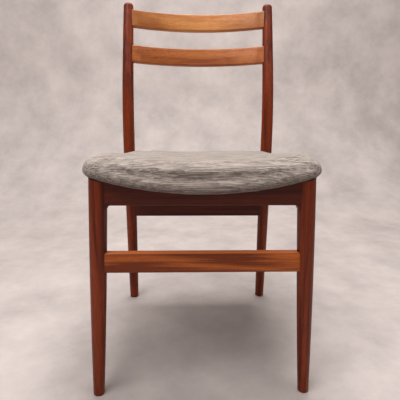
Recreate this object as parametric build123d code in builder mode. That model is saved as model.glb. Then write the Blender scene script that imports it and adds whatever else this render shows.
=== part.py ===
from build123d import *
import math
import os

# Dining chair: two turned front legs, two bent back posts, four rails under the seat, a front and a
# rear stretcher, two bowed back slats, and an upholstered seat on a dished plywood board.
# Millimetres. +Z is up, the chair faces -Y, and left and right are as seen from in front of it.
# The origin is on the floor, under the middle of the chair's box.

# Overall
height = 820.0  # floor to the tops of the back posts
depth = 506.0  # front lip of the seat to the back of the upper slat

# Front legs, round, thickest at the top and tapered towards the foot
leg_spread_foot = 400.0  # between the two legs' axes at the floor
leg_spread_seat = 374.0  # between the two axes at leg_height
leg_height = 427.0
leg_top_diameter = 33.0
leg_foot_diameter = 21.0
foot_round = 2.0

# Back posts, round, bent once above the seat
post_spread = 369.0
post_seat_diameter = 30.0  # just below the bend, and no thicker anywhere
post_full_stretch = 10.0  # how much of the post below the bend has that diameter
post_top_diameter = 25.4
post_foot_diameter = 23.5
post_bend_z = 550.0
post_bend_radius = 700.0
post_leg_rake = 4.4  # degrees, foot set back
post_back_rake = 12.1  # degrees, top set back
post_top_round = 8.0
post_stations = 9  # sections from the start of the bend to the top

# Seat rails
rail_bottom_z = 377.0  # front rail, and the front ends of the side rails
side_rail_rear_bottom_z = 361.0
rear_rail_bottom_z = 352.0
front_rail_thickness = 20.0
side_rail_thickness = 18.0
rear_rail_thickness = 18.0
rail_ear_radius = 7.5  # hollow corner where a rail meets a round leg
rail_edge_round = 2.5

# Stretchers
stretcher_bottom_z = 250.5
stretcher_height = 37.0
stretcher_thickness = 18.0
stretcher_round = 2.0

# Back slats
slat_height = 45.0
slat_thickness = 16.0
slat_bow = 29.0
slat_round = 3.0
upper_slat_drop = 41.0  # from the top of the posts to the slat's middle
slat_pitch = 92.5
tenon_thickness = 9.0
tenon_shoulder = 6.0
tenon_length = 14.0

# Glued joints
joint_sink = 0.6  # how far a shoulder sits below the round surface it meets
dowel_diameter = 8.0
dowel_length = 36.0
dowel_in_leg = 14.0
dowel_clearance = 0.05
dowel_end_gap = 1.0
dowel_chamfer = 0.8
front_dowel_rise = 7.0  # lowest dowel above the front rail's bottom
front_dowel_gap = 1.25  # between dowels that cross inside a leg
rear_dowel_rise = 11.0  # lowest dowel above the rear rail's bottom
rear_dowel_gap = 2.5
stretcher_dowel_inset = 9.5  # from the stretcher's bottom and its top

# Seat pad
seat_front_width = 426.0
seat_rear_width = 388.0  # just ahead of the back posts
seat_side_bow = 3.0
seat_overhang = 48.0  # lip ahead of the front legs' axes, at the middle
seat_front_bow = 38.0  # how far the corners stand behind the middle of the lip
seat_front_corner = 32.0
seat_rear_corner = 9.0
seat_post_gap = 4.0  # the pad is notched round each post
seat_rear_overhang = 2.0  # behind the rear rail
seat_lip_z = 404.5  # lowest point of the covered lip
seat_slope = 2.5  # degrees, down towards the back
board_radius = 850.0  # across the seat
board_thickness = 9.0
board_edge_round = 3.0  # under the rim, where the cover turns
foam_front = 39.0  # thickness at the middle of the lip
foam_rear = 28.0
foam_dish = 7.0  # rise of the top at the widest part
foam_edge_round = 6.0
cover_thickness = 1.2
cover_hem = 30.0  # fabric turned under the board
dust_cover_thickness = 0.5
dust_cover_inset = 22.0
layer_gap = 0.3  # between curved layers, and between the pad and the frame

# Corner blocks and what holds the seat
block_leg = 50.0
block_corner_cut = 10.0
block_land = 8.0  # blunt ends
block_drop = 34.0  # from the board to the block's underside
bolt_inset = 17.0  # from both rails
bolt_grip = 24.0  # from the board's underside to the washer
bolt_diameter = 6.0
bolt_head_across = 10.0
bolt_head_height = 4.0
bolt_clearance = 0.4
bolt_end_gap = 0.5
washer_diameter = 15.0
washer_thickness = 1.5
tee_flange_diameter = 19.0
tee_flange_thickness = 1.2
tee_barrel_diameter = 8.0
tee_barrel_length = 6.5
tee_clearance = 0.1
screw_diameter = 3.8
screw_head_diameter = 8.0
screw_head_height = 2.4
screw_in_rail = 14.0
screw_in_block = 9.0
screw_point = 5.0
screw_tip_diameter = 0.6
screw_slot = 0.9
screw_offset = 36.0  # from the corner between the rails
screw_rise = 14.0  # above the block's underside
screw_clearance = 0.1
screw_head_clearance = 0.6

SIDES = ((-1, "left"), (1, "right"))
ALONG_X = (0, 90, 0)
ALONG_Y = (90, 0, 0)


def leg_diameter(z):
    return leg_top_diameter - (leg_top_diameter - leg_foot_diameter) * (1 - z / leg_height) ** 2


def leg_x(z):
    return (leg_spread_foot + (leg_spread_seat - leg_spread_foot) * z / leg_height) / 2


def post_diameter(z):
    below = max(0, 1 - z / (bend_start_z - post_full_stretch))
    above = max(0, (z - bend_start_z) / (height - bend_start_z))
    thinned_below = (post_seat_diameter - post_foot_diameter) * below**2
    thinned_above = (post_seat_diameter - post_top_diameter) * above**2
    return post_seat_diameter - thinned_below - thinned_above


def post_y(z):
    return bend_y + abs(z - post_bend_z) * math.tan(back_rake if z > post_bend_z else leg_rake)


def flat_in_round(diameter, width, lean=0.0):
    """How far from a round member's axis the shoulder of a piece of that width sits."""
    return math.sqrt((diameter / 2) ** 2 - (width / 2) ** 2) - joint_sink - lean


# Places that follow from the sizes above
leg_y = seat_overhang - depth / 2
leg_rake = math.radians(post_leg_rake)
back_rake = math.radians(post_back_rake)
bend_reach = post_bend_radius * math.tan((leg_rake + back_rake) / 2)
bend_start_z = post_bend_z - bend_reach * math.cos(leg_rake)
upper_slat_z = height - upper_slat_drop
lower_slat_z = upper_slat_z - slat_pitch
slat_back = (slat_bow + slat_thickness / 2) * math.cos(back_rake) + slat_height / 2 * math.sin(back_rake)
bend_y = depth / 2 - slat_back - (upper_slat_z - post_bend_z) * math.tan(back_rake)
post_x = post_spread / 2
leg_lean = (leg_spread_foot - leg_spread_seat) / 2 / leg_height
post_lean = math.tan(leg_rake)
seat_front_y = leg_y - seat_overhang
slope = math.tan(math.radians(seat_slope))
under_board = cover_thickness + layer_gap
under_seat = under_board + dust_cover_thickness + layer_gap


def dish(x):
    return board_radius - math.sqrt(board_radius**2 - x**2)


def board_z(x, y):
    """Height of the board's underside."""
    return seat_lip_z + under_board + dish(x) - (y - seat_front_y) * slope


def rail_top(x, y):
    return board_z(x, y) - under_seat


side_rail_x = (leg_x(rail_bottom_z) + post_x) / 2

front_rail_height = rail_top(leg_x(rail_bottom_z), leg_y) - rail_bottom_z
front_rail_z = rail_bottom_z + front_rail_height / 2
front_rail_half = leg_x(front_rail_z) - flat_in_round(
    leg_diameter(front_rail_z), front_rail_thickness, front_rail_height / 2 * leg_lean
)

rear_rail_height = rail_top(post_x, post_y(rear_rail_bottom_z)) - rear_rail_bottom_z
rear_rail_z = rear_rail_bottom_z + rear_rail_height / 2
rear_rail_y = post_y(rear_rail_z)
rear_rail_half = post_x - flat_in_round(
    post_diameter(rear_rail_z), rear_rail_thickness + rear_rail_height * post_lean
)

seat_rear_y = rear_rail_y + rear_rail_thickness / 2 + seat_rear_overhang
notch_radius = post_seat_diameter / 2 + seat_post_gap
notch_y = post_y(board_z(post_x, rear_rail_y))

side_front_z = (rail_bottom_z + rail_top(side_rail_x, leg_y)) / 2
side_front_width = side_rail_thickness + 2 * (leg_x(rail_bottom_z) - side_rail_x)
side_rail_front_y = leg_y + flat_in_round(leg_diameter(side_front_z), side_front_width)
side_rear_top_z = rail_top(side_rail_x, post_y(side_rail_rear_bottom_z))
side_rear_z = (side_rail_rear_bottom_z + side_rear_top_z) / 2
side_rear_width = side_rail_thickness + 2 * abs(post_x - side_rail_x)
side_rail_rear_y = post_y(side_rear_z) - flat_in_round(
    post_diameter(side_rear_z), side_rear_width, (side_rear_top_z - side_rear_z) * post_lean
)

stretcher_z = stretcher_bottom_z + stretcher_height / 2
rear_stretcher_y = post_y(stretcher_z)
front_stretcher_half = leg_x(stretcher_z) - flat_in_round(
    leg_diameter(stretcher_bottom_z), stretcher_thickness, stretcher_height / 2 * leg_lean
)
rear_stretcher_half = post_x - flat_in_round(
    post_diameter(stretcher_bottom_z), stretcher_thickness + stretcher_height * post_lean
)

os.makedirs("parts", exist_ok=True)


def finish(piece, name):
    piece.part.label = name
    export_step(piece.part, f"parts/{name}.step")


def front_elevation(y):
    """A sketch plane that looks along +Y: its x is the chair's X and its y is the chair's Z."""
    return Plane(origin=(0, y, 0), x_dir=(1, 0, 0), z_dir=(0, -1, 0))


def side_elevation(x):
    """A sketch plane across the chair: its x is the chair's Y and its y is the chair's Z."""
    return Plane(origin=(x, 0, 0), x_dir=(0, 1, 0), z_dir=(1, 0, 0))


# The four inner corners of the seat frame: where the two rails' faces meet, and which way they face
class Corner:
    def __init__(self, side, end, x, y):
        self.side = side
        self.end = end
        self.x = x
        self.y = y
        self.bolt_x = x - side * bolt_inset
        self.bolt_y = y - end * bolt_inset
        self.bolt_z = board_z(self.bolt_x, self.bolt_y)
        self.block_z = self.bolt_z - block_drop

    def inwards(self, across, along):
        return (self.x - self.side * across, self.y - self.end * along)

    def bolt_plane(self):
        """Square to the board where the bolt passes through its underside."""
        rise = self.bolt_x / math.sqrt(board_radius**2 - self.bolt_x**2)
        return Plane(origin=(self.bolt_x, self.bolt_y, self.bolt_z), z_dir=(-rise, slope, 1))

    def screw_planes(self):
        """Under the heads of the two screws into the rails, each facing out of its rail."""
        z = self.block_z + screw_rise
        into_cross_rail = self.inwards(screw_offset, screw_in_block)
        into_side_rail = self.inwards(screw_in_block, screw_offset)
        return [
            Plane(origin=(*into_cross_rail, z), x_dir=(0, 0, 1), z_dir=(0, -self.end, 0)),
            Plane(origin=(*into_side_rail, z), x_dir=(0, 0, 1), z_dir=(-self.side, 0, 0)),
        ]


corners = {}
for side, word in SIDES:
    inner_x = side * (side_rail_x - side_rail_thickness / 2)
    corners[f"front_{word}"] = Corner(side, -1, inner_x, leg_y + front_rail_thickness / 2)
    corners[f"rear_{word}"] = Corner(side, 1, inner_x, rear_rail_y - rear_rail_thickness / 2)
screw_planes = [plane for corner in corners.values() for plane in corner.screw_planes()]
bolt_planes = [corner.bolt_plane() for corner in corners.values()]
board_across_bolt = board_thickness * bolt_planes[0].z_dir.Z

FROM_TOP = (Align.CENTER, Align.CENTER, Align.MAX)
FROM_BOTTOM = (Align.CENTER, Align.CENTER, Align.MIN)


def screw_bodies(grow, mode):
    """Shank and point of every corner block screw, as metal or, grown by a clearance, as holes."""
    shank_radius = screw_diameter / 2 + grow
    length = screw_in_block + screw_in_rail - screw_point
    with Locations(*screw_planes):
        Cylinder(shank_radius, length, align=FROM_TOP, mode=mode)
    with Locations(*[plane.offset(-length) for plane in screw_planes]):
        Cone(screw_tip_diameter / 2 + grow, shank_radius, screw_point + grow, align=FROM_TOP, mode=mode)


# Where the dowels lie: each reaches dowel_in_leg into the leg or post, and the rest is in the rail.
# In a leg or a post the dowels of its two rails take turns, from the lowest up.
dowel_shift = dowel_length / 2 - dowel_in_leg
front_levels = [
    rail_bottom_z + front_dowel_rise + turn * (dowel_diameter + front_dowel_gap) for turn in range(4)
]
rear_levels = [
    rear_rail_bottom_z + rear_dowel_rise + turn * (dowel_diameter + rear_dowel_gap) for turn in range(4)
]
stretcher_levels = [
    stretcher_bottom_z + stretcher_dowel_inset,
    stretcher_bottom_z + stretcher_height - stretcher_dowel_inset,
]


def dowels_across(half, y, levels):
    return [
        Location((side * (half - dowel_shift), y, z), ALONG_X) for side, _ in SIDES for z in levels
    ]


def dowels_fore_and_aft(y, levels):
    return [Location((side * side_rail_x, y, z), ALONG_Y) for side, _ in SIDES for z in levels]


front_rail_spots = dowels_across(front_rail_half, leg_y, front_levels[0::2])
rear_rail_spots = dowels_across(rear_rail_half, rear_rail_y, rear_levels[0::2])
front_stretcher_spots = dowels_across(front_stretcher_half, leg_y, stretcher_levels)
rear_stretcher_spots = dowels_across(rear_stretcher_half, rear_stretcher_y, stretcher_levels)
side_front_spots = dowels_fore_and_aft(side_rail_front_y + dowel_shift, front_levels[1::2])
side_rear_spots = dowels_fore_and_aft(side_rail_rear_y - dowel_shift, rear_levels[1::2])


def cut_dowel_holes(spots):
    with Locations(*spots):
        Cylinder(
            dowel_diameter / 2 + dowel_clearance,
            dowel_length + 2 * dowel_end_gap,
            mode=Mode.SUBTRACT,
        )


# The covered seat's outline in plan, notched round the back posts
front_corner = (seat_front_width / 2, seat_front_y + seat_front_bow)
side_corner = (seat_rear_width / 2, notch_y - notch_radius)
rear_corner = (post_x - notch_radius, seat_rear_y)
with BuildSketch() as seat_plan:
    with BuildLine():
        ThreePointArc((-front_corner[0], front_corner[1]), (0, seat_front_y), front_corner)
        mid_x = (front_corner[0] + side_corner[0]) / 2 + seat_side_bow
        mid_y = (front_corner[1] + side_corner[1]) / 2
        ThreePointArc(front_corner, (mid_x, mid_y), side_corner)
        notch_start = (post_x, notch_y - notch_radius)
        Line(side_corner, notch_start)
        notch = RadiusArc(notch_start, (post_x - notch_radius, notch_y), notch_radius)
        Polyline(notch @ 1, rear_corner, (0, seat_rear_y))
        mirror(about=Plane.YZ)
    make_face()
    for corner, radius in (
        (front_corner, seat_front_corner),
        (side_corner, seat_rear_corner),
        (rear_corner, seat_rear_corner),
    ):
        for side, _ in SIDES:
            point = (side * corner[0], corner[1], 0)
            fillet(seat_plan.vertices().sort_by_distance(point)[0], radius)


def plan_inside(inset):
    """The covered seat's outline, moved inwards."""
    return offset(seat_plan.sketch, amount=-inset, kind=Kind.INTERSECTION, mode=Mode.PRIVATE)


half_band = seat_front_width / 2 + 20
band_dish = dish(half_band)
pad_start = seat_front_y - 20
pad_run = depth  # longer than the seat
pad_plane = Plane(
    origin=(0, pad_start, board_z(0, pad_start)),
    x_dir=(-1, 0, 0),
    z_dir=(0, 1, -slope),
)


def pad_band(bottom, top):
    """Section of a layer that follows the board, between two heights above its underside."""
    with BuildSketch(pad_plane) as band:
        with BuildLine():
            low_end = bottom + band_dish
            high_end = top + band_dish
            low = ThreePointArc((-half_band, low_end), (0, bottom), (half_band, low_end))
            high = ThreePointArc((half_band, high_end), (0, top), (-half_band, high_end))
            Line(low @ 1, high @ 0)
            Line(high @ 1, low @ 0)
        make_face()
    return band.sketch


# The foam's top is flatter across than the board, and falls faster towards the back
top_slope = slope + (foam_front - foam_rear) / (seat_rear_y - seat_front_y)
top_plane = Plane(
    origin=(0, seat_front_y, board_z(0, seat_front_y) + board_thickness + foam_front),
    x_dir=(-1, 0, 0),
    z_dir=(0, 1, -top_slope),
)
top_dish = foam_dish * (half_band / (seat_front_width / 2)) ** 2


def padding(bottom, above_foam, inset):
    """Section, from a height above the board's underside up to a height above the foam's top."""
    top_end = above_foam + top_dish
    with BuildPart(mode=Mode.PRIVATE) as pad:
        with BuildSketch(top_plane):
            with BuildLine():
                high = ThreePointArc((half_band, top_end), (0, above_foam), (-half_band, top_end))
                Polyline(high @ 1, (-half_band, -half_band), (half_band, -half_band), high @ 0)
            make_face()
        extrude(amount=pad_run, both=True)
        extrude(plan_inside(inset), amount=height, mode=Mode.INTERSECT)
        extrude(pad_band(bottom, half_band), amount=pad_run, mode=Mode.INTERSECT)
    return pad.part


# Everything above the frame, which the rails, legs and blocks are cut back from
with BuildPart() as seat_space:
    with BuildSketch(pad_plane):
        with BuildLine():
            low = ThreePointArc(
                (-half_band, band_dish - under_seat), (0, -under_seat), (half_band, band_dish - under_seat)
            )
            Polyline(low @ 0, (-half_band, height / 4), (half_band, height / 4), low @ 1)
        make_face()
    extrude(amount=pad_run)


def rail_profile(y, half, bottom, top, ear_start):
    """Front view of a rail whose lower corners run down in a hollow round onto the legs."""
    with BuildSketch(front_elevation(y)) as profile:
        with BuildLine():
            ear_z = bottom - rail_ear_radius
            Polyline((-half, ear_z), (-half, top), (half, top), (half, ear_z))
            ears = [
                RadiusArc(
                    (side * (ear_start - rail_ear_radius), bottom),
                    (side * ear_start, ear_z),
                    side * rail_ear_radius,
                )
                for side, _ in SIDES
            ]
            for side, ear in zip((-1, 1), ears):
                Line(ear @ 1, (side * half, ear_z))
            Line(ears[0] @ 0, ears[1] @ 0)
        make_face()
    return profile.sketch


rail_blank_top = seat_lip_z + band_dish


def longest(edges, count=2):
    return edges.sort_by(SortBy.LENGTH)[-count:]


with BuildPart() as front_seat_rail:
    ear_start = leg_x(rail_bottom_z) - leg_diameter(rail_bottom_z) / 2
    profile = rail_profile(leg_y, front_rail_half, rail_bottom_z, rail_blank_top, ear_start)
    extrude(profile, amount=front_rail_thickness / 2, both=True)
    add(seat_space.part, mode=Mode.SUBTRACT)
    fillet(longest(front_seat_rail.edges().filter_by(Axis.X)), rail_edge_round)
    cut_dowel_holes(front_rail_spots)
    screw_bodies(screw_clearance, Mode.SUBTRACT)

with BuildPart() as rear_seat_rail:
    ear_start = post_x - post_diameter(rear_rail_bottom_z) / 2
    profile = rail_profile(rear_rail_y, rear_rail_half, rear_rail_bottom_z, rail_blank_top, ear_start)
    extrude(profile, amount=rear_rail_thickness / 2, both=True)
    add(seat_space.part, mode=Mode.SUBTRACT)
    fillet(longest(rear_seat_rail.edges().filter_by(Axis.X)), rail_edge_round)
    cut_dowel_holes(rear_rail_spots)
    screw_bodies(screw_clearance, Mode.SUBTRACT)

side_rails = {}
for side, word in SIDES:
    with BuildPart() as side_rail:
        with BuildSketch(side_elevation(side * side_rail_x)):
            with BuildLine():
                Polyline(
                    (side_rail_front_y, rail_bottom_z),
                    (side_rail_rear_y, side_rail_rear_bottom_z),
                    (side_rail_rear_y, rail_blank_top),
                    (side_rail_front_y, rail_blank_top),
                    close=True,
                )
            make_face()
        extrude(amount=side_rail_thickness / 2, both=True)
        add(seat_space.part, mode=Mode.SUBTRACT)
        fillet(longest(side_rail.faces().sort_by(Axis.Z)[0].edges()), rail_edge_round)
        cut_dowel_holes(side_front_spots + side_rear_spots)
        screw_bodies(screw_clearance, Mode.SUBTRACT)
    side_rails[word] = side_rail

with BuildPart() as front_stretcher:
    with Locations((0, leg_y, stretcher_z)):
        Box(2 * front_stretcher_half, stretcher_thickness, stretcher_height)
    fillet(front_stretcher.edges().filter_by(Axis.X), stretcher_round)
    cut_dowel_holes(front_stretcher_spots)

with BuildPart() as rear_stretcher:
    with Locations((0, rear_stretcher_y, stretcher_z)):
        Box(2 * rear_stretcher_half, stretcher_thickness, stretcher_height)
    fillet(rear_stretcher.edges().filter_by(Axis.X), stretcher_round)
    cut_dowel_holes(rear_stretcher_spots)


def slat_plane(z):
    """A plane square to the back posts at that height: its y runs back, and down with the rake."""
    up = (0, math.sin(back_rake), math.cos(back_rake))
    return Plane(origin=(0, post_y(z), z), x_dir=(1, 0, 0), z_dir=up)


slats = {}
for name, slat_z in (("upper_back_slat", upper_slat_z), ("lower_back_slat", lower_slat_z)):
    slat_half = post_x - flat_in_round(post_diameter(slat_z), slat_thickness)
    with BuildPart() as slat:
        with BuildSketch(slat_plane(slat_z)):
            with BuildLine():
                half = slat_thickness / 2
                face = ThreePointArc((-slat_half, -half), (0, slat_bow - half), (slat_half, -half))
                back = ThreePointArc((-slat_half, half), (0, slat_bow + half), (slat_half, half))
                Line(face @ 0, back @ 0)
                Line(face @ 1, back @ 1)
            make_face()
        extrude(amount=slat_height / 2, both=True)
        fillet(slat.edges().filter_by(GeomType.CIRCLE), slat_round)
        with BuildSketch(slat_plane(slat_z)):
            for side, _ in SIDES:
                with Locations((side * slat_half, 0)):
                    Rectangle(2 * tenon_length, tenon_thickness)
        extrude(amount=slat_height / 2 - tenon_shoulder, both=True)
    slats[name] = slat


def taper_profile(plane, foot_diameter, top_diameter, length, straight):
    """Half section of a turned leg, tapered and then straight, on a plane whose y runs up its axis."""
    with BuildSketch(plane) as half:
        with BuildLine():
            top_radius = top_diameter / 2
            foot_radius = foot_diameter / 2
            taper = Bezier((foot_radius, 0), (top_radius, length / 2), (top_radius, length))
            Polyline(taper @ 1, (top_radius, length + straight), (0, length + straight))
            Polyline(taper @ 0, (foot_radius, -foot_trim), (0, -foot_trim), (0, length + straight))
        make_face()
    return half.sketch


def trim_foot(piece):
    split(bisect_by=Plane.XY, keep=Keep.TOP)
    fillet(piece.faces().sort_by(Axis.Z)[0].edges(), foot_round)


foot_trim = leg_top_diameter  # turned longer, and cut off level with the floor
leg_top_trim = leg_top_diameter  # and cut off under the seat
front_legs = {}
for side, word in SIDES:
    lean = math.atan(leg_lean)
    foot = Vector(side * leg_spread_foot / 2, leg_y, 0)
    outwards = Vector(math.cos(lean), 0, side * math.sin(lean))
    leg_plane = Plane(origin=foot, x_dir=outwards, z_dir=(0, -1, 0))
    with BuildPart() as front_leg:
        profile = taper_profile(
            leg_plane, leg_foot_diameter, leg_top_diameter, leg_height, leg_top_trim
        )
        revolve(profile, axis=Axis(foot, leg_plane.y_dir))
        trim_foot(front_leg)
        add(seat_space.part, mode=Mode.SUBTRACT)
        add(front_seat_rail.part, mode=Mode.SUBTRACT)
        add(side_rails[word].part, mode=Mode.SUBTRACT)
        add(front_stretcher.part, mode=Mode.SUBTRACT)
        cut_dowel_holes(front_rail_spots + side_front_spots + front_stretcher_spots)
    front_legs[word] = front_leg

# The rounded end leans back, so its front edge is its highest point
top_radius = post_top_diameter / 2
post_end_z = (
    height
    - post_top_round * (1 - math.cos(back_rake))
    - (top_radius - post_top_round) * math.sin(back_rake)
)
lower_length = post_bend_z / math.cos(leg_rake) - bend_reach
back_posts = {}
for side, word in SIDES:
    foot = Vector(side * post_x, post_y(0), 0)
    lower_plane = Plane(origin=foot, x_dir=(1, 0, 0), z_dir=(0, -math.cos(leg_rake), -math.sin(leg_rake)))
    with BuildLine(side_elevation(side * post_x)) as post_line:
        FilletPolyline(
            (post_y(0), 0),
            (bend_y, post_bend_z),
            (post_y(post_end_z), post_end_z),
            radius=post_bend_radius,
        )
    post_path = post_line.wire()
    bend_start = lower_length / post_path.length
    with BuildPart() as back_post:
        for station in range(post_stations):
            share = bend_start + (1 - bend_start) * station / (post_stations - 1)
            centre = post_path @ share
            section = Plane(origin=centre, x_dir=(1, 0, 0), z_dir=post_path % share)
            with BuildSketch(section):
                Circle(post_diameter(centre.Z) / 2)
        loft()
        fillet(back_post.faces().sort_by(Axis.Z)[-1].edges(), post_top_round)
        profile = taper_profile(
            lower_plane,
            post_foot_diameter,
            post_seat_diameter,
            lower_length - post_full_stretch,
            post_full_stretch,
        )
        revolve(profile, axis=Axis(foot, lower_plane.y_dir))
        trim_foot(back_post)
        for piece in (rear_seat_rail, side_rails[word], rear_stretcher, *slats.values()):
            add(piece.part, mode=Mode.SUBTRACT)
        cut_dowel_holes(rear_rail_spots + side_rear_spots + rear_stretcher_spots)
    back_posts[word] = back_post

dowel_groups = {
    "front_rail_dowels": front_rail_spots,
    "rear_rail_dowels": rear_rail_spots,
    "side_rail_front_dowels": side_front_spots,
    "side_rail_rear_dowels": side_rear_spots,
    "front_stretcher_dowels": front_stretcher_spots,
    "rear_stretcher_dowels": rear_stretcher_spots,
}
for name, spots in dowel_groups.items():
    with BuildPart() as dowels:
        with Locations(*spots):
            Cylinder(dowel_diameter / 2, dowel_length)
        chamfer(dowels.edges().filter_by(GeomType.CIRCLE), dowel_chamfer)
    finish(dowels, name)

for name, corner in corners.items():
    outline = [
        corner.inwards(block_leg, 0),
        corner.inwards(block_corner_cut, 0),
        corner.inwards(0, block_corner_cut),
        corner.inwards(0, block_leg),
        corner.inwards(block_land, block_leg),
        corner.inwards(block_leg, block_land),
    ]
    seat_of_washer = corner.bolt_plane().offset(-bolt_grip)
    with BuildPart() as corner_block:
        with BuildSketch(Plane.XY.offset(corner.block_z)):
            with BuildLine():
                Polyline(*outline, close=True)
            make_face()
        extrude(amount=2 * block_drop)
        add(seat_space.part, mode=Mode.SUBTRACT)
        with Locations(corner.bolt_plane()):
            Cylinder(bolt_diameter / 2 + bolt_clearance, 3 * block_drop, mode=Mode.SUBTRACT)
        with Locations(seat_of_washer):
            Cylinder(
                washer_diameter / 2 + bolt_clearance, 2 * block_drop, align=FROM_TOP, mode=Mode.SUBTRACT
            )
        screw_bodies(screw_clearance, Mode.SUBTRACT)
        with Locations(*corner.screw_planes()):
            Cylinder(
                screw_head_diameter / 2 + screw_head_clearance,
                block_leg,
                align=FROM_BOTTOM,
                mode=Mode.SUBTRACT,
            )
    finish(corner_block, f"corner_block_{name}")

with BuildPart() as corner_block_screws:
    screw_bodies(0, Mode.ADD)
    with Locations(*screw_planes):
        Cylinder(screw_head_diameter / 2, screw_head_height, align=FROM_BOTTOM)
    with Locations(*[plane.offset(screw_head_height) for plane in screw_planes]):
        Box(screw_head_diameter, screw_slot, screw_head_height, mode=Mode.SUBTRACT)

# The seat: board, foam, cover and dust cover, each following the board's dish
board_inset = cover_thickness + layer_gap


def round_edges(piece, top_radius=0, bottom_radius=0):
    """Round the edges of a seat layer's large top face and large bottom face."""
    bottom, top = piece.faces().sort_by(SortBy.AREA)[-2:].sort_by(Axis.Z)
    if top_radius:
        fillet(top.edges(), top_radius)
    if bottom_radius:
        fillet(bottom.edges(), bottom_radius)


with BuildPart() as seat_board:
    extrude(pad_band(0, board_thickness), amount=pad_run)
    extrude(plan_inside(board_inset), amount=height, mode=Mode.INTERSECT)
    round_edges(seat_board, bottom_radius=board_edge_round)
    with Locations(*bolt_planes):
        Cylinder(tee_barrel_diameter / 2 + tee_clearance, 4 * board_thickness, mode=Mode.SUBTRACT)
    with Locations(*[plane.offset(board_across_bolt - tee_flange_thickness) for plane in bolt_planes]):
        Cylinder(
            tee_flange_diameter / 2 + tee_clearance, board_thickness, align=FROM_BOTTOM, mode=Mode.SUBTRACT
        )



with BuildPart() as seat_foam:
    add(padding(board_thickness + layer_gap, 0, board_inset))
    round_edges(seat_foam, foam_edge_round)

with BuildPart() as cover_inside:
    add(padding(-layer_gap, layer_gap, cover_thickness))
    round_edges(cover_inside, foam_edge_round + layer_gap, board_edge_round + layer_gap)

with BuildPart() as seat_cover:
    add(padding(-under_board, layer_gap + cover_thickness, 0))
    round_edges(
        seat_cover,
        foam_edge_round + layer_gap + cover_thickness,
        board_edge_round + layer_gap + cover_thickness,
    )
    add(cover_inside.part, mode=Mode.SUBTRACT)
    extrude(plan_inside(cover_hem), amount=seat_lip_z + band_dish, mode=Mode.SUBTRACT)
    with Locations(*bolt_planes):
        Cylinder(bolt_diameter / 2 + bolt_clearance, block_drop, mode=Mode.SUBTRACT)

with BuildPart() as seat_dust_cover:
    sheet_top = -under_board - layer_gap
    extrude(pad_band(sheet_top - dust_cover_thickness, sheet_top), amount=pad_run)
    extrude(plan_inside(dust_cover_inset), amount=height, mode=Mode.INTERSECT)
    with Locations(*bolt_planes):
        Cylinder(bolt_diameter / 2 + bolt_clearance, block_drop, mode=Mode.SUBTRACT)

with BuildPart() as seat_bolts:
    bolt_length = bolt_grip + washer_thickness + board_across_bolt - bolt_end_gap
    with BuildSketch(*[plane.offset(-bolt_grip - washer_thickness) for plane in bolt_planes]):
        Circle(bolt_diameter / 2)
    extrude(amount=bolt_length)
    with BuildSketch(*[plane.offset(-bolt_grip - washer_thickness) for plane in bolt_planes]):
        RegularPolygon(bolt_head_across / 2, 6, major_radius=False)
    extrude(amount=-bolt_head_height)

with BuildPart() as seat_bolt_washers:
    with BuildSketch(*[plane.offset(-bolt_grip - washer_thickness) for plane in bolt_planes]):
        Circle(washer_diameter / 2)
        Circle(bolt_diameter / 2 + bolt_clearance, mode=Mode.SUBTRACT)
    extrude(amount=washer_thickness)

with BuildPart() as seat_tee_nuts:
    flange = [plane.offset(board_across_bolt) for plane in bolt_planes]
    with Locations(*flange):
        Cylinder(tee_flange_diameter / 2, tee_flange_thickness, align=FROM_TOP)
        Cylinder(tee_barrel_diameter / 2, tee_barrel_length, align=FROM_TOP)
        Cylinder(bolt_diameter / 2 + tee_clearance, 3 * tee_barrel_length, mode=Mode.SUBTRACT)

for name, piece in (
    ("front_seat_rail", front_seat_rail),
    ("rear_seat_rail", rear_seat_rail),
    ("front_stretcher", front_stretcher),
    ("rear_stretcher", rear_stretcher),
    ("corner_block_screws", corner_block_screws),
    ("seat_board", seat_board),
    ("seat_foam", seat_foam),
    ("seat_cover", seat_cover),
    ("seat_dust_cover", seat_dust_cover),
    ("seat_bolts", seat_bolts),
    ("seat_bolt_washers", seat_bolt_washers),
    ("seat_tee_nuts", seat_tee_nuts),
):
    finish(piece, name)
for name, slat in slats.items():
    finish(slat, name)
for _, word in SIDES:
    finish(side_rails[word], f"side_seat_rail_{word}")
    finish(front_legs[word], f"front_leg_{word}")
    finish(back_posts[word], f"back_post_{word}")
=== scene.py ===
import math

import bpy
from mathutils import Euler, Matrix, Vector


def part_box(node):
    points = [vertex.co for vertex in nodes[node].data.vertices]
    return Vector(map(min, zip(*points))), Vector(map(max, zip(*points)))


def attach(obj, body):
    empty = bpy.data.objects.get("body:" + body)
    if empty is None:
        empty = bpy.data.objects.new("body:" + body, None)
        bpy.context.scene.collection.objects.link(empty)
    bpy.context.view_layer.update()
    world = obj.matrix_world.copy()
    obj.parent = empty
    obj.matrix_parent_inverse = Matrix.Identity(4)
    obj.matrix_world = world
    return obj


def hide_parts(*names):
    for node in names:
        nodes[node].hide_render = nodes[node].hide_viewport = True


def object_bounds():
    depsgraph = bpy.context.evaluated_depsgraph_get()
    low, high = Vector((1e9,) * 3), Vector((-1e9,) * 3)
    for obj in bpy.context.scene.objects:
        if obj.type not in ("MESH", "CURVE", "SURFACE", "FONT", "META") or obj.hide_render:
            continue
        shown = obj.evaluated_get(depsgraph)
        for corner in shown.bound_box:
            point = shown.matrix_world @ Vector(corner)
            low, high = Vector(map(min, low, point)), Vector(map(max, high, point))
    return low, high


bl_info = {
    "name": "Dining Chair",
    "version": (1, 0, 0),
    "blender": (4, 5, 0),
    "location": "3D View > Sidebar > Chair",
    "description": "A wooden dining chair with two back slats and a woven seat",
    "category": "Object",
}

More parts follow.
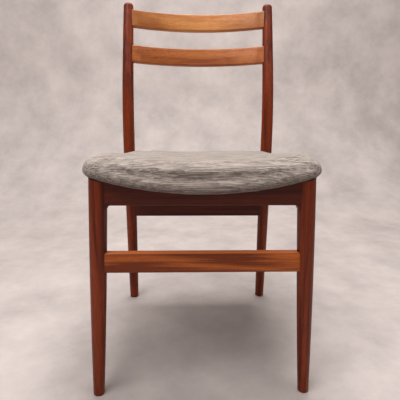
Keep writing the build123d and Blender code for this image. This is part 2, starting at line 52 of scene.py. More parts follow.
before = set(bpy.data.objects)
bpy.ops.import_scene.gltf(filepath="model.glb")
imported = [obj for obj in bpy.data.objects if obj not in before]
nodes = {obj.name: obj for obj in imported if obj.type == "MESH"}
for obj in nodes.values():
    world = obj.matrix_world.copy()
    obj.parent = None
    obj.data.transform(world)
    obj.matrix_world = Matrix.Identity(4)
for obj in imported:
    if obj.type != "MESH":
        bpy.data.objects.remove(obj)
cad_low, cad_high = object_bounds()
cover_low, cover_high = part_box("seat_cover")

ALONG_X, ALONG_Y, ALONG_Z = 0, 1, 2
TURNED = ("front_leg_left", "front_leg_right", "back_post_left", "back_post_right")
RAILS = ("front_seat_rail", "rear_seat_rail", "rear_stretcher")
SIDE_RAILS = ("side_seat_rail_left", "side_seat_rail_right")
CORNER_BLOCKS = tuple(
    f"corner_block_{end}_{side}" for end in ("front", "rear") for side in ("left", "right")
)
DOWELS = tuple(
    f"{joint}_dowels"
    for joint in (
        "front_rail",
        "rear_rail",
        "side_rail_front",
        "side_rail_rear",
        "front_stretcher",
        "rear_stretcher",
    )
)
PADDING_PRESSURE = 4.0
FABRIC_STIFFNESS = 18.0
FABRIC_BENDING = 2.0
CLOTH_STEPS = 6
SWELL_FRAMES = 20
METAL = ("corner_block_screws", "seat_bolts", "seat_bolt_washers", "seat_tee_nuts")


# ---------------------------------------------------------------- settings


def colour(name, description, default):
    return bpy.props.FloatVectorProperty(
        name=name, description=description, default=default, size=3, subtype="COLOR", min=0, max=1
    )


def length(name, description, default):
    return bpy.props.FloatProperty(
        name=name, description=description, default=default, min=0, unit="LENGTH", precision=4
    )


class ChairWoodSettings(bpy.types.PropertyGroup):
    leg_light: colour("Leg light", "Early wood of the legs and posts", (0.270, 0.040, 0.007))
    leg_dark: colour("Leg dark", "Late wood of the legs and posts", (0.075, 0.0085, 0.0020))
    rail_light: colour("Rail light", "Early wood of the seat rails", (0.130, 0.020, 0.007))
    rail_dark: colour("Rail dark", "Late wood of the seat rails", (0.050, 0.0075, 0.0035))
    bar_light: colour("Stretcher light", "Early wood of the front stretcher", (0.60, 0.150, 0.026))
    bar_dark: colour("Stretcher dark", "Late wood of the front stretcher", (0.17, 0.030, 0.006))
    upper_light: colour("Upper slat light", "Early wood of the upper slat", (0.62, 0.27, 0.080))
    upper_dark: colour("Upper slat dark", "Late wood of the upper slat", (0.36, 0.105, 0.024))
    lower_light: colour("Lower slat light", "Early wood of the lower slat", (0.46, 0.145, 0.035))
    lower_dark: colour("Lower slat dark", "Late wood of the lower slat", (0.24, 0.054, 0.012))
    block_light: colour("Block light", "Early wood of the corner blocks", (0.62, 0.43, 0.24))
    block_dark: colour("Block dark", "Late wood of the corner blocks", (0.45, 0.27, 0.13))
    figure_size: length("Figure size", "Distance across the grain between growth bands", 0.016)
    pore_size: length("Pore size", "Width of a pore", 0.0005)


class ChairSeatSettings(bpy.types.PropertyGroup):
    yarn_light: colour("Light yarn", "Palest slub", (0.48, 0.40, 0.345))
    yarn_mid: colour("Middle yarn", "Ground of the weave", (0.27, 0.218, 0.187))
    yarn_dark: colour("Dark yarn", "Darkest slub", (0.11, 0.085, 0.074))
    slub_length: length("Slub length", "Usual length of a slub along the seat's width", 0.024)
    slub_width: length("Slub width", "Thickness of a slub", 0.0020)
    yarn_pitch: length("Yarn pitch", "Distance from one row of yarn to the next", 0.0016)
    remesh_size: length("Remesh size", "Edge length of the cushion before its last subdivision", 0.0045)
    inset: length("Starting inset", "How far inside its final place the padding starts", 0.001)
    most_swell: length("Most swell", "The furthest that a point of the cushion may move", 0.007)
    held_height: length("Held height", "Height of the board's edge, where the cover stays tight", 0.008)
    soft_height: length("Soft height", "Height over which the held edge gives way to soft padding", 0.012)
    edge_softness: bpy.props.IntProperty(
        name="Edge softness", description="Rounds of smoothing of the top edge", default=10, min=0
    )
    board_radius: length("Board radius", "Radius of the board's dish", 0.85)
    board_front_height: length("Board front", "Height of the board's underside at the lip", 0.406)
    board_slope: bpy.props.FloatProperty(
        name="Board slope", description="Fall towards the back", default=math.radians(2.5), subtype="ANGLE"
    )
    bulge: length("Bulge", "How far the padding stands out beyond the board's edge", 0.0045)
    tuck_height: length("Tuck height", "Height over which the padding curves in to the board", 0.019)
    side_rise: length("Side rise", "Extra height of the padding at its widest part", 0.0060)
    rise_shift: length("Rise shift", "From the widest part back to the highest sides", 0.04)
    rise_reach: length("Rise reach", "How far the extra height spreads fore and aft", 0.135)
    lining_sag: length("Lining sag", "How far the dust cover hangs in its middle", 0.004)


class ChairStageSettings(bpy.types.PropertyGroup):
    backdrop: colour("Backdrop", "Colour of the floor and the wall", (0.50, 0.435, 0.412))
    floor_width: length("Floor width", "Width of the floor and the wall", 9.0)
    wall_distance: length("Wall distance", "From the chair to the wall", 1.6)
    room_light: bpy.props.FloatProperty(name="Room light", description="Light from all round", default=0.24)
    key_light: bpy.props.FloatProperty(name="Key light", description="Power in watts", default=46)
    fill_light: bpy.props.FloatProperty(name="Fill light", description="Power in watts", default=11)
    top_light: bpy.props.FloatProperty(name="Top light", description="Power in watts", default=44)
    camera_side: bpy.props.FloatProperty(
        name="Camera side", description="From the chair's middle plane", default=-0.027, unit="LENGTH"
    )
    camera_distance: length("Camera distance", "Ahead of the front legs", 0.7122)
    camera_height: length("Camera height", "Above the floor", 0.5524)
    camera_pitch: bpy.props.FloatProperty(
        name="Camera pitch", description="Downwards", default=math.radians(9.67), subtype="ANGLE"
    )
    camera_turn: bpy.props.FloatProperty(
        name="Camera turn", description="To the right", default=math.radians(1.72), subtype="ANGLE"
    )
    camera_roll: bpy.props.FloatProperty(
        name="Camera roll", description="Tilt", default=math.radians(0.3), subtype="ANGLE"
    )
    camera_lens: bpy.props.FloatProperty(
        name="Camera lens", description="Focal length in mm", default=36.45
    )
    camera_shift: bpy.props.FloatProperty(name="Camera shift", description="Upwards", default=-0.0625)


# ---------------------------------------------------------------- shader nodes


class Shader:
    """One material's node tree, with short ways to add nodes and feed their sockets."""

    def __init__(self, name):
        self.material = bpy.data.materials.new(name)
        self.material.use_nodes = True
        self.tree = self.material.node_tree
        self.surface = self.tree.nodes["Principled BSDF"]

    def feed(self, node, sockets):
        for key, value in sockets.items():
            socket = node.inputs[key]
            if isinstance(value, bpy.types.NodeSocket):
                self.tree.links.new(value, socket)
            elif hasattr(value, "__len__") and socket.type == "RGBA":
                socket.default_value = (*value, 1)
            else:
                socket.default_value = value

    def add(self, kind, sockets, **settings):
        node = self.tree.nodes.new("ShaderNode" + kind)
        for key, value in settings.items():
            setattr(node, key, value)
        self.feed(node, sockets)
        return node

    def place(self, scale, start=(0, 0, 0)):
        """The piece's own coordinates, moved and then scaled."""
        here = self.add("TexCoord", {}).outputs["Object"]
        return self.stretch(here, scale, start)

    def stretch(self, vector, scale, start=(0, 0, 0)):
        mapping = self.add("Mapping", {"Vector": vector, "Location": start, "Scale": scale})
        return mapping.outputs["Vector"]

    def noise(self, vector, scale=1.0, detail=3.0, roughness=0.5, distortion=0.0):
        sockets = {"Vector": vector, "Scale": scale, "Detail": detail}
        sockets |= {"Roughness": roughness, "Distortion": distortion}
        return self.add("TexNoise", sockets).outputs["Fac"]

    def maths(self, operation, first, second=0.5, third=0.5):
        node = self.add("Math", {0: first, 1: second, 2: third}, operation=operation)
        return node.outputs["Value"]

    def remap(self, value, low, high, to_low=0.0, to_high=1.0):
        sockets = {"Value": value, "From Min": low, "From Max": high}
        sockets |= {"To Min": to_low, "To Max": to_high}
        return self.add("MapRange", sockets).outputs["Result"]

    def mix(self, share, first, second, blend_type="MIX"):
        node = self.add("Mix", {}, data_type="RGBA", blend_type=blend_type)
        self.feed(node, {0: share, 6: first, 7: second})
        return node.outputs[2]

    def bump(self, height, strength, distance, under=None):
        sockets = {"Height": height, "Strength": strength, "Distance": distance}
        if under is not None:
            sockets["Normal"] = under
        return self.add("Bump", sockets).outputs["Normal"]

    def finish(self, **constants):
        """Sets the shader's own sockets, whose names have underscores for spaces."""
        self.feed(self.surface, {key.replace("_", " "): value for key, value in constants.items()})
        return self.material


def shade(pieces, material):
    for piece in pieces:
        piece.data.materials.clear()
        piece.data.materials.append(material)
        for polygon in piece.data.polygons:
            polygon.material_index = 0


# ---------------------------------------------------------------- wood


def across(along, small, large):
    """A scale that is large across the grain and small along it."""
    scale = [large] * 3
    scale[along] = small
    return scale


def wood(
    name,
    along,
    light,
    dark,
    start=(0, 0, 0),
    contrast=0.6,
    gloss=0.34,
    worn_edge=None,
    painted_top_light=0,
    painted_end_shade=0,
):
    """Oiled wood: growth bands that flow along the piece, fine fibre, pores and a slow change of tone.

    A worn edge is a direction and how far along it the edge lies. The top light is a share of painted
    highlight on upward-facing faces; the end shade is a share of painted shade towards the piece's ends.
    """
    sizes = bpy.context.scene.chair_wood
    shader = Shader(name)
    per_metre = 1 / sizes.figure_size
    field = shader.noise(
        shader.place(across(along, per_metre * 0.022, per_metre * 0.34), start), 1, 2.0, 0.45, 0.5
    )
    bands = shader.maths("PINGPONG", shader.maths("MULTIPLY", field, 9.0), 1.0)
    bands = shader.remap(bands, 0.08, 0.95)
    fibre = shader.noise(shader.place(across(along, 22, 900), start), 1, 4.0, 0.6)
    streaks = shader.noise(shader.place(across(along, 3.2, 160), start), 1, 3.0, 0.55)
    tone = shader.noise(shader.place(across(along, 2.6, 14), start), 1, 2.0, 0.5)
    pores = shader.noise(
        shader.place(across(along, 0.10 / sizes.pore_size, 1 / sizes.pore_size), start), 1, 1.0, 0.4
    )
    pores = shader.remap(pores, 0.64, 0.72)
    depth = shader.maths("MULTIPLY", bands, contrast)
    depth = shader.maths("ADD", depth, shader.remap(streaks, 0.3, 0.7, -0.32, 0.48))
    depth = shader.maths("ADD", depth, shader.remap(tone, 0.3, 0.7, -0.22, 0.26))
    ramp = shader.add("ValToRGB", {"Fac": depth})
    middle = tuple(0.58 * a + 0.42 * b for a, b in zip(light, dark))
    ramp.color_ramp.elements[0].color = (*light, 1)
    ramp.color_ramp.elements[1].color = (*dark, 1)
    ramp.color_ramp.elements[1].position = 0.92
    ramp.color_ramp.elements.new(0.45).color = (*middle, 1)
    tint = shader.mix(shader.remap(fibre, 0.38, 0.66, 0.0, 0.62), ramp.outputs["Color"], dark)
    tint = shader.mix(shader.maths("MULTIPLY", pores, 0.55), tint, tuple(0.35 * c for c in dark))
    # Painted shade: the piece darkens towards its ends along x, standing in for the shade where a slat
    # meets the posts.
    if painted_end_shade:
        place = shader.add("SeparateXYZ", {"Vector": shader.add("TexCoord", {}).outputs["Object"]})
        out = shader.maths("ABSOLUTE", place.outputs["X"])
        share = shader.remap(out, 0.05, 0.15, 0.0, painted_end_shade)
        tint = shader.mix(share, tint, tuple(0.75 * c for c in dark))
    # Painted highlight: faces that point upwards are lightened, standing in for light from above.
    if painted_top_light:
        facing = shader.add("SeparateXYZ", {"Vector": shader.add("NewGeometry", {}).outputs["Normal"]})
        painted_light_above = shader.remap(facing.outputs["Z"], 0.6, 0.95, 0.0, painted_top_light)
        tint = shader.mix(painted_light_above, tint, tuple(min(1.0, 1.5 * c + 0.03) for c in light))
    if worn_edge:
        up, level = worn_edge
        here = shader.add("TexCoord", {}).outputs["Object"]
        height = shader.add("VectorMath", {0: here, 1: up}, operation="DOT_PRODUCT").outputs["Value"]
        chips = shader.noise(shader.place((90, 160, 160), start), 1, 3.0, 0.6)
        near = shader.remap(height, level - 0.0045, level - 0.0015)
        worn = shader.maths("MULTIPLY", near, shader.remap(chips, 0.56, 0.63, 0.0, 0.85))
        tint = shader.mix(worn, tint, tuple(0.3 * c for c in dark))
    relief = shader.maths("SUBTRACT", shader.maths("MULTIPLY", fibre, 0.5), pores)
    normal = shader.bump(relief, 0.22, 0.0004)
    roughness = shader.remap(fibre, 0.3, 0.75, gloss, gloss + 0.16)
    shader.feed(shader.surface, {"Base Color": tint, "Roughness": roughness, "Normal": normal})
    return shader.finish(IOR=1.5, Specular_IOR_Level=0.22, Coat_Weight=0.03, Coat_Roughness=0.28)


def smooth_rounds(piece):
    """Joins the loose triangles of a CAD piece and shades its rounds smooth and its edges crisp."""
    for polygon in piece.data.polygons:
        polygon.use_smooth = True
    weld = piece.modifiers.new("Weld", "WELD")
    weld.merge_threshold = 0.00001
    split = piece.modifiers.new("Edge split", "EDGE_SPLIT")
    split.split_angle = math.radians(32)


class CHAIR_OT_turned_wood(bpy.types.Operator):
    """Finish the legs and posts in dark oiled wood with the grain upright"""

    bl_idname = "chair.turned_wood"
    bl_label = "Legs and Posts"

    def execute(self, context):
        tones = context.scene.chair_wood
        for number, name in enumerate(TURNED):
            start = (0.37 * number, 0.83 * number, 0.21 * number)
            look = wood(f"{name}_wood", ALONG_Z, tones.leg_light, tones.leg_dark, start, 0.5)
            shade([nodes[name]], look)
            smooth_rounds(nodes[name])
        return {"FINISHED"}


class CHAIR_OT_rail_wood(bpy.types.Operator):
    """Finish the seat rails and the two stretchers"""

    bl_idname = "chair.rail_wood"
    bl_label = "Rails and Stretchers"

    def execute(self, context):
        tones = context.scene.chair_wood
        for number, name in enumerate(RAILS):
            start = (0.61 * number, 0.29 * number, 0.47 * number)
            look = wood(f"{name}_wood", ALONG_X, tones.rail_light, tones.rail_dark, start, 0.55)
            shade([nodes[name]], look)
            smooth_rounds(nodes[name])
        for number, name in enumerate(SIDE_RAILS):
            start = (0.15 * number, 0.53 * number, 0.71 * number)
            look = wood(f"{name}_wood", ALONG_Y, tones.rail_light, tones.rail_dark, start, 0.55)
            shade([nodes[name]], look)
            smooth_rounds(nodes[name])
        grain = (0.2, 0.4, 0.3)
        # The front stretcher gets a painted highlight on its top face.
        look = wood(
            "front_stretcher_wood", ALONG_X, tones.bar_light, tones.bar_dark, grain, 0.95, painted_top_light=0.6
        )
        shade([nodes["front_stretcher"]], look)
        smooth_rounds(nodes["front_stretcher"])
        return {"FINISHED"}


def slat_up(slat):
    """The direction square to a slat's top face, which leans back with the posts."""
    total = Vector()
    for polygon in slat.data.polygons:
        if polygon.normal.z > 0.9:
            total += polygon.normal * polygon.area
    return total.normalized()


class CHAIR_OT_slat_wood(bpy.types.Operator):
    """Finish the back slats in lighter wood, with a worn top edge on the lower slat"""

    bl_idname = "chair.slat_wood"
    bl_label = "Back Slats"

    def execute(self, context):
        tones = context.scene.chair_wood
        upper, lower = nodes["upper_back_slat"], nodes["lower_back_slat"]
        light, dark = tones.upper_light, tones.upper_dark
        # The upper slat gets painted shade towards its ends.
        look = wood("upper_slat_wood", ALONG_X, light, dark, (0, 0.4, 0.9), 0.5, 0.36, painted_end_shade=0.7)
        shade([upper], look)
        up = slat_up(lower)
        edge = (up, max(up.dot(vertex.co) for vertex in lower.data.vertices))
        start = (1.3, 1.1, 0.9)
        look = wood("lower_slat_wood", ALONG_X, tones.lower_light, tones.lower_dark, start, 0.5, 0.36, edge)
        shade([lower], look)
        for slat in (upper, lower):
            smooth_rounds(slat)
        return {"FINISHED"}


class CHAIR_OT_inner_wood(bpy.types.Operator):
    """Finish the corner blocks, the dowels and the moulded board in plain wood"""

    bl_idname = "chair.inner_wood"
    bl_label = "Blocks, Dowels and Board"

    def execute(self, context):
        tones = context.scene.chair_wood
        light, dark = tones.block_light, tones.block_dark
        look = wood("corner_block_wood", ALONG_Y, light, dark, (0, 0, 0), 0.35, 0.55)
        shade([nodes[name] for name in CORNER_BLOCKS], look)
        look = wood("dowel_wood", ALONG_X, light, dark, (3, 1, 2), 0.3, 0.55)
        shade([nodes[name] for name in DOWELS], look)
        look = wood("board_wood", ALONG_Y, light, dark, (1, 4, 2), 0.4, 0.6)
        shade([nodes["seat_board"]], look)
        for name in (*CORNER_BLOCKS, *DOWELS, "seat_board"):
            smooth_rounds(nodes[name])
        return {"FINISHED"}


class CHAIR_OT_metal(bpy.types.Operator):
    """Finish the bolts, washers, nuts and screws in plated steel"""

    bl_idname = "chair.metal"
    bl_label = "Fasteners"

    def execute(self, context):
        shader = Shader("plated_steel")
        blotches = shader.noise(shader.place((320, 320, 320)), 1, 3.0, 0.55)
        scratches = shader.noise(shader.place((2600, 240, 900)), 1, 2.0, 0.6)
        tint = shader.mix(blotches, (0.62, 0.60, 0.54), (0.46, 0.45, 0.42))
        roughness = shader.remap(scratches, 0.3, 0.7, 0.28, 0.50)
        normal = shader.bump(scratches, 0.15, 0.0001)
        shader.feed(shader.surface, {"Base Color": tint, "Roughness": roughness, "Normal": normal})
        look = shader.finish(Metallic=1.0)
        shade([nodes[name] for name in METAL], look)
        for name in METAL:
            smooth_rounds(nodes[name])
        return {"FINISHED"}


# ---------------------------------------------------------------- seat


def choose_only(piece):
    bpy.ops.object.select_all(action="DESELECT")
    piece.hide_set(False)
    piece.select_set(True)
    bpy.context.view_layer.objects.active = piece


def copy_of(names, piece_name):
    """One new piece made of copies of CAD nodes, with their loose triangles merged."""
    copies = []
    for name in names:
        copy = bpy.data.objects.new(piece_name, nodes[name].data.copy())
        bpy.context.scene.collection.objects.link(copy)
        copies.append(copy)
    choose_only(copies[0])
    for copy in copies:
        copy.select_set(True)
    if len(copies) > 1:
        bpy.ops.object.join()
    piece = bpy.context.view_layer.objects.active
    piece.name = piece_name
    bpy.ops.object.mode_set(mode="EDIT")
    bpy.ops.mesh.select_all(action="SELECT")
    bpy.ops.mesh.remove_doubles(threshold=0.00001)
    bpy.ops.object.mode_set(mode="OBJECT")
    return piece


def apply(piece, kind, **settings):
    modifier = piece.modifiers.new(kind.title(), kind)
    for key, value in settings.items():
        setattr(modifier, key, value)
    choose_only(piece)
    bpy.ops.object.modifier_apply(modifier=modifier.name)


def dish(x, radius):
    return radius - math.sqrt(radius * radius - x * x)


def eased(value):
    value = min(1.0, max(0.0, value))
    return value * value * (3 - 2 * value)


def board_underside(x, y):
    """Height of the underside of the dished board, which slopes down towards the back."""
    seat = bpy.context.scene.chair_seat
    fall = (y - cover_low.y) * math.tan(seat.board_slope)
    return seat.board_front_height + dish(x, seat.board_radius) - fall


def weigh(piece, group_name, share):
    group = piece.vertex_groups.new(name=group_name)
    for vertex in piece.data.vertices:
        group.add([vertex.index], share(vertex), "REPLACE")
    return group


def cushion_weave(piece):
    """Cloth coordinates that run flat over the top and carry on down each edge."""
    attribute = piece.data.attributes.new("weave", "FLOAT_VECTOR", "POINT")
    middle_y = (cover_low.y + cover_high.y) / 2
    flat_part = (cover_high.z - cover_low.z) * 0.42
    for vertex in piece.data.vertices:
        x, y, z = vertex.co
        drop = max(0.0, board_underside(x, y) + flat_part - z)
        sideways = vertex.normal.x**2
        endways = vertex.normal.y**2
        both = max(1e-6, sideways + endways)
        attribute.data[vertex.index].vector = (
            x + math.copysign(drop * sideways / both, x),
            y + math.copysign(drop * endways / both, y - middle_y),
            z,
        )


def seat_fabric():
    """A woven fabric with slubs that run across the seat, with painted shade where it faces the floor."""
    seat = bpy.context.scene.chair_seat
    shader = Shader("seat_fabric")
    cloth = shader.add("Attribute", {}, attribute_name="weave").outputs["Vector"]
    slub_scale = (0.42 / seat.slub_length, 1 / seat.slub_width, 1 / seat.slub_width)
    here = shader.place(slub_scale)
    slubs = shader.noise(here, 1, 3.0, 0.62, 0.35)
    patches = shader.noise(shader.place((16, 44, 44)), 1, 2.0, 0.5)
    short = shader.noise(shader.place((130, 620, 620)), 1, 3.0, 0.6)
    rows = shader.add(
        "TexWave",
        {
            "Vector": cloth,
            "Scale": 0.314 / seat.yarn_pitch,
            "Distortion": 1.4,
            "Detail": 2.0,
            "Detail Scale": 3.0,
        },
        bands_direction="Y",
    ).outputs["Fac"]
    twist = shader.noise(shader.stretch(cloth, (900, 1500, 900)), 1, 2.0, 0.6)
    level = shader.maths("ADD", slubs, shader.remap(patches, 0.3, 0.7, -0.05, 0.05))
    level = shader.maths("ADD", level, shader.remap(short, 0.25, 0.75, -0.09, 0.09))
    ramp = shader.add("ValToRGB", {"Fac": level})
    ramp.color_ramp.elements[0].position = 0.36
    ramp.color_ramp.elements[0].color = (*seat.yarn_dark, 1)
    ramp.color_ramp.elements[1].position = 0.65
    ramp.color_ramp.elements[1].color = (*seat.yarn_light, 1)
    ramp.color_ramp.elements.new(0.48).color = (*seat.yarn_mid, 1)
    gaps = shader.remap(rows, 0.0, 0.45, 0.30, 0.0)
    tint = shader.mix(gaps, ramp.outputs["Color"], tuple(0.45 * c for c in seat.yarn_dark))
    tint = shader.mix(shader.remap(twist, 0.35, 0.7, 0.0, 0.16), tint, seat.yarn_light)
    # Painted shade: the fabric darkens where it faces the floor, standing in for the shade under the seat's
    # lip.
    facing = shader.add("SeparateXYZ", {"Vector": shader.add("NewGeometry", {}).outputs["Normal"]})
    painted_shade_below = shader.remap(facing.outputs["Z"], 0.1, -0.6, 0.0, 0.62)
    tint = shader.mix(painted_shade_below, tint, tuple(0.5 * c for c in seat.yarn_dark))
    yarn = shader.bump(rows, 0.35, seat.yarn_pitch * 0.4)
    thick = shader.bump(level, 0.5, 0.0009, yarn)
    fuzz = shader.bump(twist, 0.25, 0.0003, thick)
    roughness = shader.remap(slubs, 0.3, 0.7, 0.92, 0.80)
    shader.feed(shader.surface, {"Base Color": tint, "Roughness": roughness, "Normal": fuzz})
    return shader.finish(Sheen_Weight=0.25, Sheen_Roughness=0.5, Specular_IOR_Level=0.25)


def above_board(vertex):
    """0 at the board's edge and under it, rising to 1 over the padding."""
    seat = bpy.context.scene.chair_seat
    x, y, z = vertex.co
    return eased((z - board_underside(x, y) - seat.held_height) / seat.soft_height)


class CHAIR_OT_seat(bpy.types.Operator):
    """Make the padded seat: a crowned cushion wrapped in woven fabric, pulled tight round the board"""

    bl_idname = "chair.seat"
    bl_label = "Seat Cushion"

    def execute(self, context):
        seat = context.scene.chair_seat
        cushion = copy_of(("seat_cover", "seat_foam", "seat_board"), "seat_cushion")
        apply(cushion, "REMESH", mode="VOXEL", voxel_size=seat.remesh_size)
        weigh(cushion, "padding", above_board)
        apply(cushion, "DISPLACE", strength=-seat.inset, mid_level=0.0, vertex_group="padding")
        apply(cushion, "SMOOTH", factor=0.5, iterations=seat.edge_softness, vertex_group="padding")
        self.fill_out(cushion, seat)
        self.raise_sides(cushion, seat)
        start = [vertex.co.copy() for vertex in cushion.data.vertices]
        self.swell(context, cushion, start)
        apply(cushion, "SUBSURF", levels=1, render_levels=1)
        choose_only(cushion)
        bpy.ops.object.shade_smooth()
        cushion_weave(cushion)
        shade([cushion], seat_fabric())
        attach(cushion, "root")
        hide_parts("seat_cover", "seat_foam")
        return {"FINISHED"}

    def fill_out(self, cushion, seat):
        """Rounds the padding out over the board's edge, so that the cover turns under along it."""
        normals = [vertex.normal.copy() for vertex in cushion.data.vertices]
        for vertex, normal in zip(cushion.data.vertices, normals):
            x, y, z = vertex.co
            rise = (z - board_underside(x, y)) / seat.tuck_height
            if rise > 0:
                turn = math.sqrt(1 - (1 - min(1.0, rise)) ** 2)
                outwards = Vector((normal.x, normal.y, 0)) * (1 - max(0.0, normal.z) ** 2)
                vertex.co += outwards * seat.bulge * turn

    def raise_sides(self, cushion, seat):
        """Lifts the padding on each side, the most a little behind its widest part."""
        widest = max(cushion.data.vertices, key=lambda vertex: vertex.co.x).co
        for vertex in cushion.data.vertices:
            x, y, z = vertex.co
            nearness = 1 - eased(abs(y - widest.y - seat.rise_shift) / seat.rise_reach)
            vertex.co.z += seat.side_rise * above_board(vertex) * nearness * (x / widest.x) ** 2

    def swell(self, context, cushion, start):
        """Blows the padding up like cloth held at the board's edge, and limits how far it moves."""
        seat = context.scene.chair_seat
        weigh(cushion, "held", lambda vertex: 1.0 - above_board(vertex))
        cloth = cushion.modifiers.new("Cloth", "CLOTH")
        fabric = cloth.settings
        fabric.use_pressure = True
        fabric.uniform_pressure_force = PADDING_PRESSURE
        fabric.effector_weights.gravity = 0.0
        fabric.tension_stiffness = FABRIC_STIFFNESS
        fabric.compression_stiffness = FABRIC_STIFFNESS
        fabric.bending_stiffness = FABRIC_BENDING
        fabric.vertex_group_mass = "held"
        fabric.quality = CLOTH_STEPS
        scene = context.scene
        for number in range(1, SWELL_FRAMES + 1):
            scene.frame_set(number)
        choose_only(cushion)
        bpy.ops.object.modifier_apply(modifier=cloth.name)
        scene.frame_set(1)
        for vertex, place in zip(cushion.data.vertices, start):
            move = vertex.co - place
            if move.length > seat.most_swell:
                vertex.co = place + move.normalized() * seat.most_swell


class CHAIR_OT_dust_cover(bpy.types.Operator):
    """Make the black lining stretched over the seat's underside, with a slight sag"""

    bl_idname = "chair.dust_cover"
    bl_label = "Dust Cover"

    def execute(self, context):
        seat = context.scene.chair_seat
        low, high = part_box("seat_dust_cover")
        lining = copy_of(("seat_dust_cover",), "dust_cover_cloth")
        bpy.ops.object.mode_set(mode="EDIT")
        bpy.ops.mesh.select_all(action="SELECT")
        bpy.ops.mesh.subdivide(number_cuts=3)
        bpy.ops.object.mode_set(mode="OBJECT")
        middle, half = (low + high) / 2, (high - low) / 2
        for vertex in lining.data.vertices:
            across_it = 1 - min(1.0, abs(vertex.co.x - middle.x) / half.x) ** 2
            along_it = 1 - min(1.0, abs(vertex.co.y - middle.y) / half.y) ** 2
            vertex.co.z -= seat.lining_sag * across_it * along_it
        shader = Shader("lining")
        fibres = shader.noise(shader.place((420, 420, 420)), 1, 5.0, 0.7)
        mats = shader.noise(shader.place((60, 60, 60)), 1, 2.0, 0.5)
        tint = shader.mix(fibres, (0.012, 0.012, 0.012), (0.050, 0.049, 0.047))
        tint = shader.mix(shader.remap(mats, 0.3, 0.7, 0.0, 0.3), tint, (0.075, 0.072, 0.068))
        normal = shader.bump(fibres, 0.4, 0.0003)
        shader.feed(shader.surface, {"Base Color": tint, "Normal": normal})
        shade([lining], shader.finish(Roughness=0.93))
        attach(lining, "root")
        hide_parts("seat_dust_cover")
        return {"FINISHED"}


# ---------------------------------------------------------------- stage


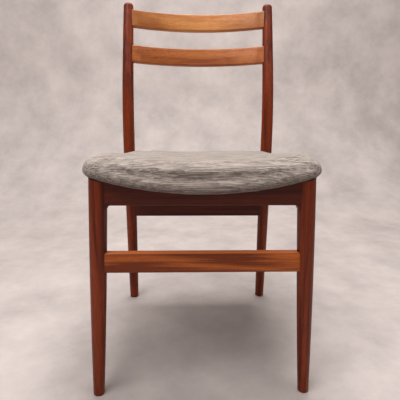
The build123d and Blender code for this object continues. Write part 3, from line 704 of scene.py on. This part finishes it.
class CHAIR_OT_stage(bpy.types.Operator):
    """Set a pale mottled floor and wall, soft lights and the camera"""

    bl_idname = "chair.stage"
    bl_label = "Stage"

    def execute(self, context):
        stage = context.scene.chair_stage
        bpy.ops.object.select_all(action="DESELECT")
        bpy.ops.mesh.primitive_plane_add(size=stage.floor_width)
        floor = context.object
        floor.name = "floor"
        bpy.ops.object.mode_set(mode="EDIT")
        bpy.ops.mesh.select_all(action="DESELECT")
        bpy.ops.object.mode_set(mode="OBJECT")
        for edge in floor.data.edges:
            edge.select = all(floor.data.vertices[i].co.y > 0 for i in edge.vertices)
        for vertex in floor.data.vertices:
            if vertex.co.y > 0:
                vertex.co.y = stage.wall_distance
        bpy.ops.object.mode_set(mode="EDIT")
        bpy.ops.mesh.extrude_region_move(TRANSFORM_OT_translate={"value": (0, 0, stage.floor_width / 2)})
        bpy.ops.object.mode_set(mode="OBJECT")
        bend = floor.modifiers.new("Bevel", "BEVEL")
        bend.width = stage.wall_distance / 2
        bend.segments = 24
        bpy.ops.object.shade_smooth()
        shader = Shader("backdrop")
        clouds = shader.noise(shader.place((5.5, 5.5, 5.5)), 1, 6.0, 0.66)
        paler = tuple(min(1.0, 1.22 * c) for c in stage.backdrop)
        darker = tuple(0.88 * c for c in stage.backdrop)
        tint = shader.mix(shader.remap(clouds, 0.32, 0.68), darker, paler)
        shader.feed(shader.surface, {"Base Color": tint})
        shade([floor], shader.finish(Roughness=0.9, Specular_IOR_Level=0.2))
        world = bpy.data.worlds.new("studio")
        world.use_nodes = True
        background = world.node_tree.nodes["Background"]
        background.inputs["Color"].default_value = (1.0, 0.97, 0.93, 1)
        background.inputs["Strength"].default_value = stage.room_light
        context.scene.world = world
        context.scene.view_settings.view_transform = "Standard"
        middle = (cad_low + cad_high) / 2
        for name, offset, size, power in (
            ("key", (-1.0, -1.25, 2.3), 1.5, stage.key_light),
            ("fill", (1.6, -1.3, 1.6), 1.8, stage.fill_light),
            ("top", (0.05, 0.25, 1.9), 0.9, stage.top_light),
        ):
            self.softbox(name, middle + Vector(offset), middle, size, power)
        self.camera(context, stage)
        return {"FINISHED"}

    def softbox(self, name, place, target, size, power):
        """A square area light, aimed at the target."""
        bpy.ops.object.light_add(type="AREA", location=place)
        light = bpy.context.object
        light.name = name
        light.data.shape = "SQUARE"
        light.data.size = size
        light.data.energy = power
        light.rotation_euler = (target - place).to_track_quat("-Z", "Y").to_euler()

    def camera(self, context, stage):
        """Stands ahead of the front legs and looks slightly down at the chair."""
        leg_low, leg_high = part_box("front_leg_left")
        leg_y = (leg_low.y + leg_high.y) / 2
        place = (stage.camera_side, leg_y - stage.camera_distance, stage.camera_height)
        bpy.ops.object.camera_add(location=place)
        camera = context.object
        aim = Euler((math.radians(90) - stage.camera_pitch, 0, -stage.camera_turn)).to_matrix()
        camera.rotation_euler = (aim @ Matrix.Rotation(stage.camera_roll, 3, "Z")).to_euler()
        camera.data.lens = stage.camera_lens
        camera.data.sensor_width = 36
        camera.data.shift_y = stage.camera_shift
        context.scene.camera = camera


# ---------------------------------------------------------------- add-on


OPERATORS = (
    CHAIR_OT_turned_wood,
    CHAIR_OT_rail_wood,
    CHAIR_OT_slat_wood,
    CHAIR_OT_inner_wood,
    CHAIR_OT_metal,
    CHAIR_OT_seat,
    CHAIR_OT_dust_cover,
    CHAIR_OT_stage,
)


class CHAIR_PT_panel(bpy.types.Panel):
    """Lists the chair's pieces and its stage"""

    bl_label = "Dining Chair"
    bl_idname = "CHAIR_PT_panel"
    bl_space_type = "VIEW_3D"
    bl_region_type = "UI"
    bl_category = "Chair"

    def draw(self, context):
        column = self.layout.column(align=True)
        for operator in OPERATORS:
            column.operator(operator.bl_idname)


SETTINGS = {
    "chair_wood": ChairWoodSettings,
    "chair_seat": ChairSeatSettings,
    "chair_stage": ChairStageSettings,
}
CLASSES = (*SETTINGS.values(), *OPERATORS, CHAIR_PT_panel)


def register():
    for each in CLASSES:
        bpy.utils.register_class(each)
    for name, group in SETTINGS.items():
        setattr(bpy.types.Scene, name, bpy.props.PointerProperty(type=group))


def unregister():
    for name in SETTINGS:
        delattr(bpy.types.Scene, name)
    for each in reversed(CLASSES):
        bpy.utils.unregister_class(each)


def main():
    register()
    for operator in OPERATORS:
        group, name = operator.bl_idname.split(".")
        getattr(getattr(bpy.ops, group), name)()


if __name__ == "__main__":
    main()
